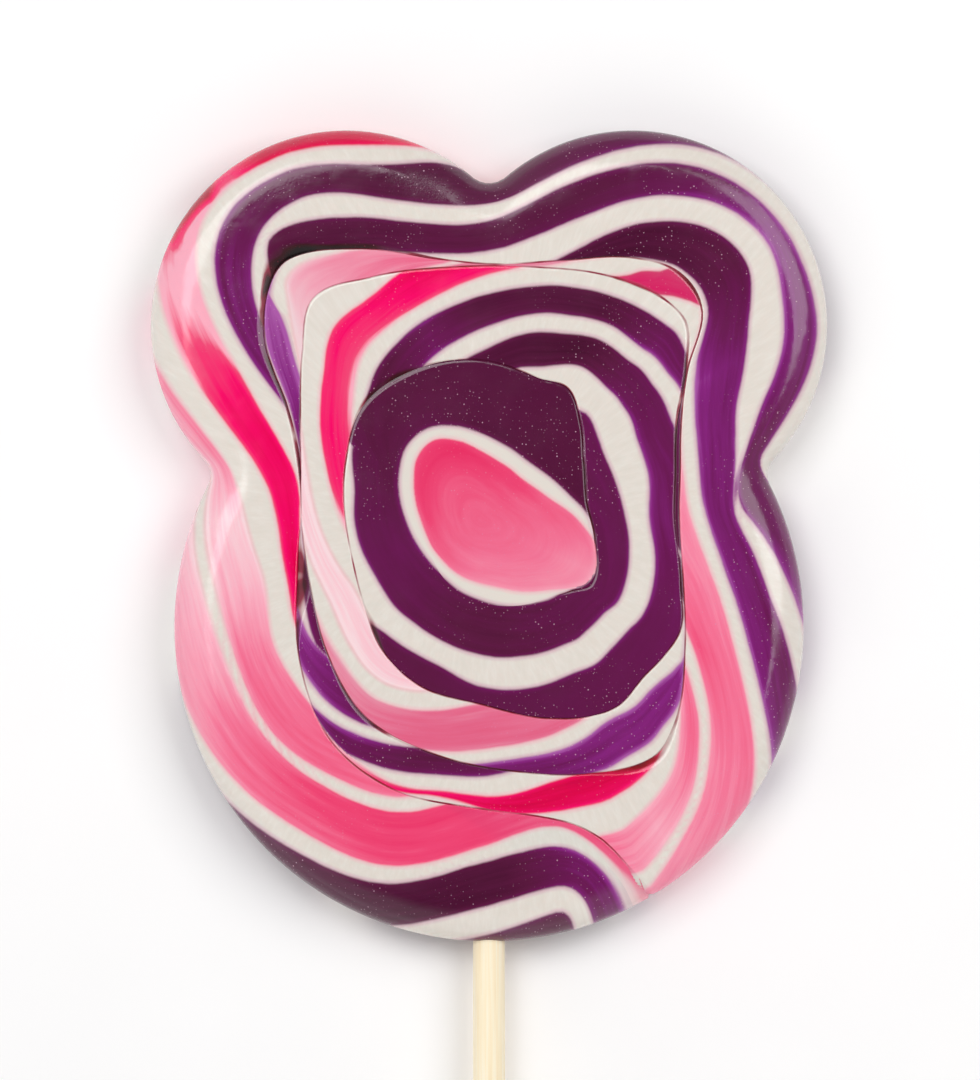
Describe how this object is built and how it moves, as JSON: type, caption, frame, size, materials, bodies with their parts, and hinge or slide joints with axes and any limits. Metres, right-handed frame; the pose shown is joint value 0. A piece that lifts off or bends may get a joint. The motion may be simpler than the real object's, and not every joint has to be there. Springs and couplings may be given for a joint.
{
  "type": "bear-shaped lollipop",
  "caption": "Flat boiled-sugar lollipop, a twisted candy rope coiled and pressed to a bear-head outline, on a round wooden stick.",
  "frame": {"origin": "on the flat back face of the candy, at the centre of the big head circle", "axes": "+Y towards the ears and away from the stick, +Z out of the shown front face, +X to the right as the front is seen"},
  "size_m": [0.095, 0.2239, 0.011],
  "materials": {
    "boiled_sugar": "glossy hard candy, bands of plum, warm white, pink and red",
    "stick_wood": "plain pale round wooden stick"
  },
  "bodies": {
    "root": {"candy": "boiled_sugar", "stick": "stick_wood"}
  },
  "joints": []
}
